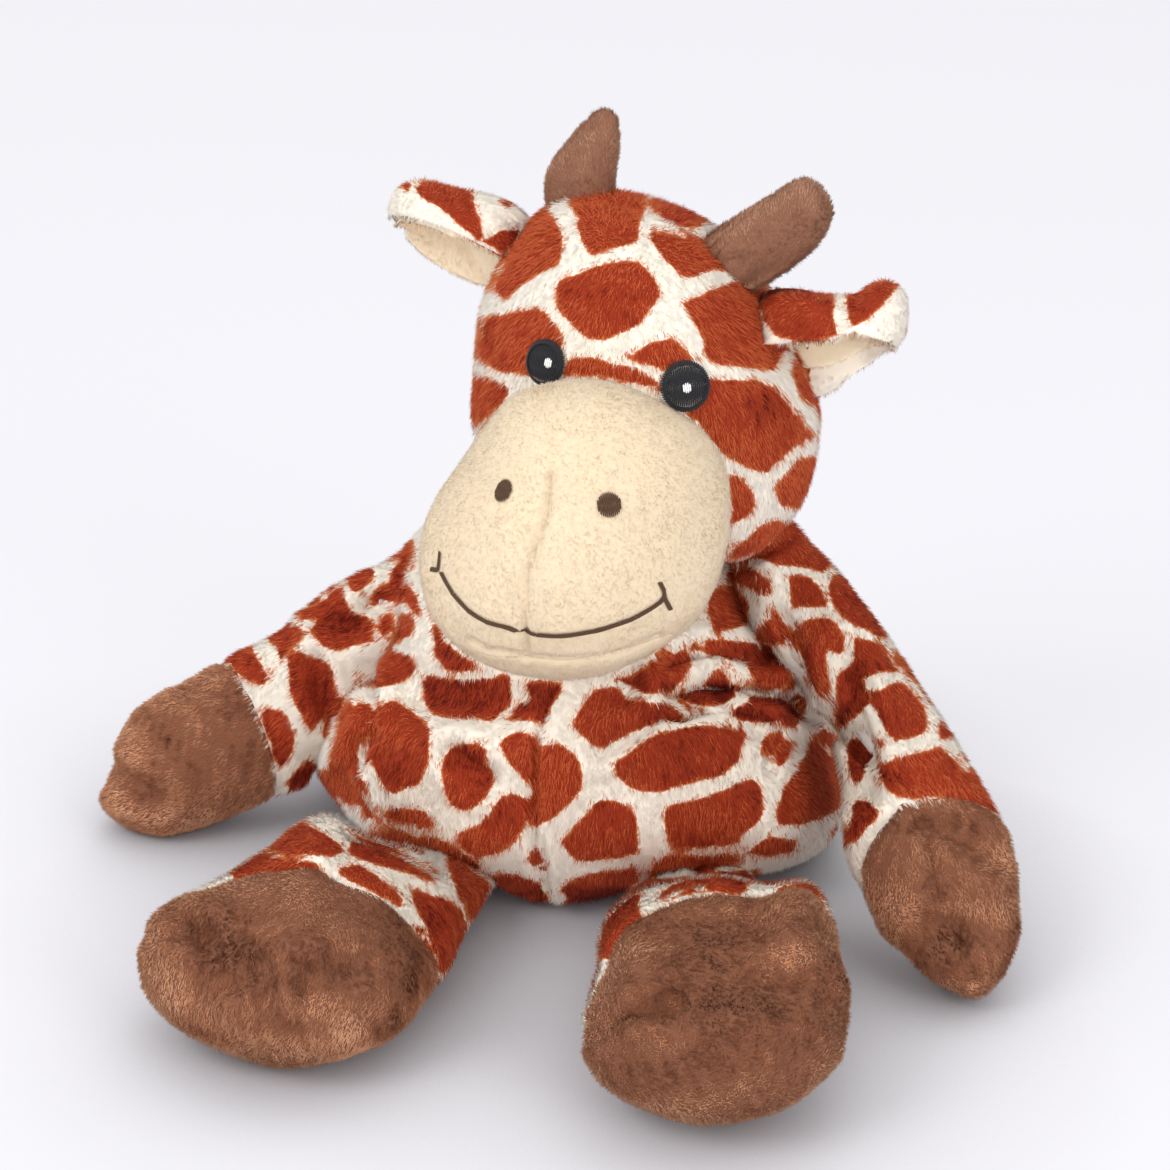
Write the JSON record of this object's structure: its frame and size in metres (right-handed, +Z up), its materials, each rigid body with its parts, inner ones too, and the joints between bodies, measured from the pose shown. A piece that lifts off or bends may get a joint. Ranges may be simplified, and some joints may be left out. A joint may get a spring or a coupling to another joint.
{
  "type": "plush giraffe",
  "caption": "Seated plush giraffe: patched cover, beige muzzle, stitched face, brown hooves and horns, head, ears, arms and legs on soft joints.",
  "frame": {"origin": "on the floor under the middle of the toy's bounding box", "axes": "+Z up, the toy faces -Y, its own left side is +X"},
  "size_m": [0.267, 0.2178, 0.2177],
  "materials": {
    "print_plush": "cut pile plush, cream ground with rust patches",
    "cream_plush": "short cut pile",
    "muzzle_plush": "short cut pile",
    "hoof_plush": "cut pile plush, brushed both ways",
    "horn_plush": "short cut pile",
    "brown_thread": "satin-stitched thread",
    "eye_thread": "satin-stitched thread",
    "white_thread": "satin-stitched thread",
    "stuffing": "loose polyester fibre",
    "pouch_cloth": "plain woven cotton, filled with pellets"
  },
  "bodies": {
    "torso": {"torso_front_left": "print_plush", "torso_front_right": "print_plush", "torso_back": "print_plush", "torso_stuffing": "stuffing", "bean_pouch": "pouch_cloth"},
    "neck": {"neck": "print_plush"},
    "head": {"head_front": "print_plush", "head_back": "print_plush", "head_stuffing": "stuffing", "muzzle_upper": "muzzle_plush", "muzzle_chin": "muzzle_plush", "smile_stitching": "brown_thread", "eye_left": "eye_thread", "eye_right": "eye_thread", "eye_highlight_left": "white_thread", "eye_highlight_right": "white_thread", "nostril_left": "brown_thread", "nostril_right": "brown_thread", "horn_left": "horn_plush", "horn_right": "horn_plush"},
    "ear_left": {"ear_left_outer": "print_plush", "ear_left_lining": "cream_plush"},
    "ear_right": {"ear_right_outer": "print_plush", "ear_right_lining": "cream_plush"},
    "arm_left": {"arm_left_sleeve": "print_plush", "arm_left_hoof": "hoof_plush", "arm_left_stuffing": "stuffing"},
    "arm_right": {"arm_right_sleeve": "print_plush", "arm_right_hoof": "hoof_plush", "arm_right_stuffing": "stuffing"},
    "leg_left": {"leg_left_sleeve": "print_plush", "leg_left_hoof": "hoof_plush", "leg_left_stuffing": "stuffing"},
    "leg_right": {"leg_right_sleeve": "print_plush", "leg_right_hoof": "hoof_plush", "leg_right_stuffing": "stuffing"}
  },
  "joints": [
    {"name": "neck_turn", "type": "hinge", "parent": "torso", "child": "neck", "pos_m": [0.01002, 0.04442, 0.1065], "axis": [0, 0, 1], "range_deg": [-15, 15]},
    {"name": "head_nod", "type": "hinge", "parent": "neck", "child": "head", "pos_m": [0.01002, 0.04442, 0.1065], "axis": [1, 0, 0], "range_deg": [-12, 3]},
    {"name": "ear_left_flap", "type": "hinge", "parent": "head", "child": "ear_left", "pos_m": [0.06485, 0.0373, 0.16302], "axis": [-0.4314, -0.7383, 0.5185], "range_deg": [-15, 15]},
    {"name": "ear_right_flap", "type": "hinge", "parent": "head", "child": "ear_right", "pos_m": [-0.01921, 0.04244, 0.17421], "axis": [-0.0329, 0.813, -0.5813], "range_deg": [-15, 15]},
    {"name": "arm_left_lift", "type": "hinge", "parent": "torso", "child": "arm_left", "pos_m": [0.04859, 0.04796, 0.08652], "axis": [-1, 0, 0], "range_deg": [0, 70]},
    {"name": "arm_right_lift", "type": "hinge", "parent": "torso", "child": "arm_right", "pos_m": [-0.04654, 0.04796, 0.06798], "axis": [-1, 0, 0], "range_deg": [0, 70]},
    {"name": "leg_left_lift", "type": "hinge", "parent": "torso", "child": "leg_left", "pos_m": [0.04255, 0.01232, 0.01597], "axis": [-0.9806, -0.1961, 0], "range_deg": [0, 30]},
    {"name": "leg_right_lift", "type": "hinge", "parent": "torso", "child": "leg_right", "pos_m": [-0.02389, 0.01232, 0.01545], "axis": [-0.9348, 0.3552, 0], "range_deg": [0, 30]}
  ]
}
